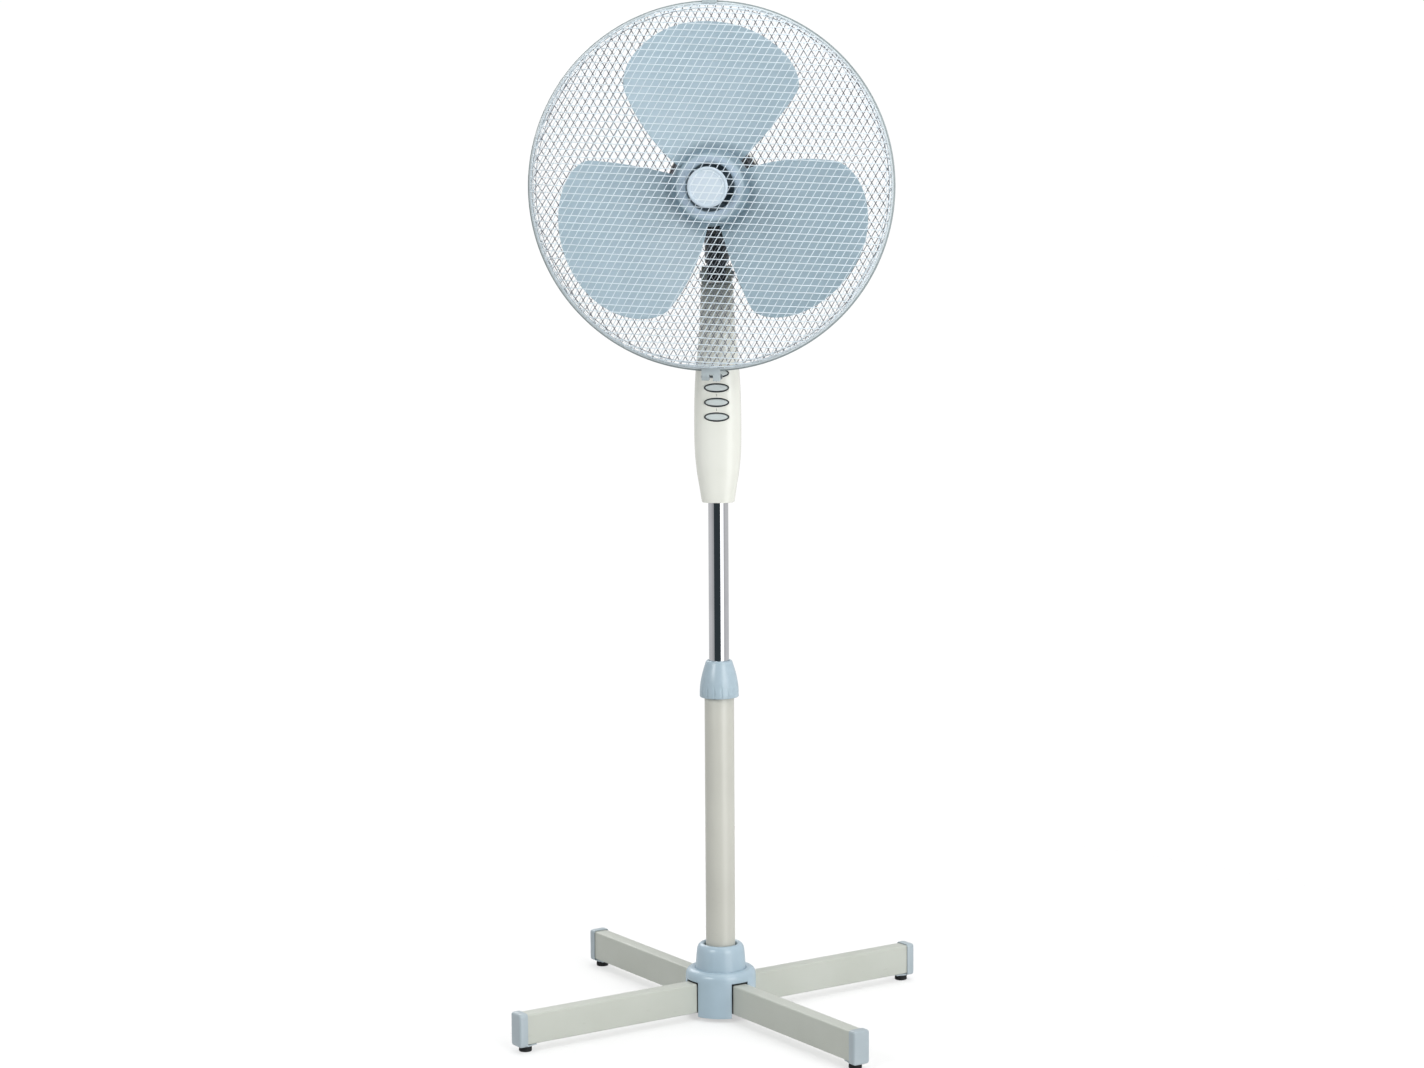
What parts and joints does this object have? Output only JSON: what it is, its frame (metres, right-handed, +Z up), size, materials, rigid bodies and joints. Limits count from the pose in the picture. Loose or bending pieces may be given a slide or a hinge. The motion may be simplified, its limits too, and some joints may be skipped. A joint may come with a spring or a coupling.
{
  "type": "pedestal fan",
  "caption": "Pedestal fan with crossed legs, telescoping column, push-button housing and a tilting, swinging head whose paddle-bladed impeller turns in a wire mesh cage.",
  "frame": {"origin": "on the floor, on the column's axis", "axes": "+Z up along the column, -Y the way the fan blows, +X to the right of a person who faces the fan's front"},
  "size_m": [0.4902, 0.4902, 1.2636],
  "materials": {
    "leg_steel": "painted grey-green steel, satin",
    "pole_steel": "painted warm grey steel, satin",
    "blue_plastic": "moulded pale grey-blue plastic, semi-gloss",
    "cream_plastic": "moulded off-white plastic, glossy",
    "button_plastic": "moulded pale grey plastic, glossy",
    "badge_plastic": "moulded pale blue plastic, satin",
    "blade_plastic": "moulded grey-blue plastic, satin",
    "wire": "pale blue-white coated steel wire",
    "dark_plastic": "dark grey moulded plastic",
    "inner_plastic": "natural white acetal",
    "rubber": "black rubber",
    "chrome": "bright chrome plate",
    "steel": "zinc-plated steel",
    "bronze": "sintered bronze",
    "cast_zinc": "as-cast light alloy",
    "winding": "laminated steel with enamelled copper windings"
  },
  "bodies": {
    "base": {"leg_beam_lower": "leg_steel", "leg_beam_upper": "leg_steel", "leg_cap_1": "blue_plastic", "leg_cap_2": "blue_plastic", "leg_cap_3": "blue_plastic", "leg_cap_4": "blue_plastic", "foot_1": "rubber", "foot_2": "rubber", "foot_3": "rubber", "foot_4": "rubber", "pole_flange": "steel", "flange_screw_1": "steel", "flange_screw_2": "steel", "base_cover": "blue_plastic", "pole": "pole_steel", "pole_bush": "dark_plastic"},
    "nut": {"height_nut": "blue_plastic"},
    "column": {"inner_tube": "chrome", "stop_ring": "dark_plastic", "housing_front": "cream_plastic", "housing_back": "cream_plastic", "housing_screw_lower": "steel", "housing_screw_upper": "steel", "cable_gland": "rubber", "switch_block": "dark_plastic", "motor_capacitor": "inner_plastic", "tilt_yoke": "cream_plastic", "tilt_bolt": "steel"},
    "button_0": {"speed_button_0": "button_plastic"},
    "button_1": {"speed_button_1": "button_plastic"},
    "button_2": {"speed_button_2": "button_plastic"},
    "button_3": {"speed_button_3": "button_plastic"},
    "neck": {"neck": "dark_plastic", "pivot_pin": "steel"},
    "link": {"drag_link": "steel"},
    "head": {"motor_front_shell": "dark_plastic", "motor_rear_shell": "cream_plastic", "rear_shell_screw": "steel", "stator": "winding", "front_bearing": "bronze", "rear_bearing": "bronze", "gear_case": "cast_zinc", "rear_guard": "wire", "front_guard": "wire", "guard_nut": "dark_plastic", "guard_badge": "badge_plastic", "badge_plate": "badge_plastic", "guard_clip": "blue_plastic", "guard_clip_screw": "steel", "guard_hook": "blue_plastic"},
    "spinner": {"motor_shaft": "steel", "rotor": "steel", "impeller": "blade_plastic", "blade_nut": "blue_plastic"},
    "wheel": {"worm_wheel": "inner_plastic"},
    "crank": {"crank_gear": "inner_plastic"},
    "knob": {"oscillation_knob": "cream_plastic"}
  },
  "joints": [
    {"name": "nut_turn", "type": "hinge", "parent": "base", "child": "nut", "pos_m": [0, 0, 0.43], "axis": [0, 0, 1], "range_deg": [0, 270]},
    {"name": "column_height", "type": "slide", "parent": "base", "child": "column", "axis": [0, 0, 1], "range_m": [-0.19, 0.06]},
    {"name": "button_0_press", "type": "slide", "parent": "column", "child": "button_0", "axis": [0, 1, 0], "range_m": [0, 0.004], "stiffness_N_per_m": 400},
    {"name": "button_1_press", "type": "slide", "parent": "column", "child": "button_1", "axis": [0, 1, 0], "range_m": [0, 0.004], "stiffness_N_per_m": 400},
    {"name": "button_2_press", "type": "slide", "parent": "column", "child": "button_2", "axis": [0, 1, 0], "range_m": [0, 0.004], "stiffness_N_per_m": 400},
    {"name": "button_3_press", "type": "slide", "parent": "column", "child": "button_3", "axis": [0, 1, 0], "range_m": [0, 0.004], "stiffness_N_per_m": 400},
    {"name": "tilt", "type": "hinge", "parent": "column", "child": "neck", "pos_m": [0, 0, 0.935], "axis": [1, 0, 0], "range_deg": [-20, 15]},
    {"name": "oscillation", "type": "hinge", "parent": "neck", "child": "head", "pos_m": [0, 0, 1], "axis": [0, 0, 1], "range_deg": [-39, 36]},
    {"name": "link_swing", "type": "hinge", "parent": "neck", "child": "link", "pos_m": [0.0115, 0.0096, 0.997], "axis": [0, 0, 1], "range_deg": [-35, 65]},
    {"name": "impeller_spin", "type": "hinge", "parent": "head", "child": "spinner", "pos_m": [0, -0.1, 1.042], "axis": [0, 1, 0], "continuous": true},
    {"name": "wheel_turn", "type": "hinge", "parent": "head", "child": "wheel", "pos_m": [0.015, 0.016, 1.042], "axis": [0, 0, 1], "continuous": true},
    {"name": "crank_turn", "type": "hinge", "parent": "head", "child": "crank", "pos_m": [-0.001, 0.024, 1.02], "axis": [0, 0, 1], "continuous": true},
    {"name": "knob_lift", "type": "slide", "parent": "head", "child": "knob", "axis": [0, 0, 1], "range_m": [0, 0.007]}
  ],
  "couplings": [
    {"joint": "wheel_turn", "follows": "impeller_spin", "ratio": -0.033333},
    {"joint": "crank_turn", "follows": "impeller_spin", "ratio": 0.008333}
  ]
}
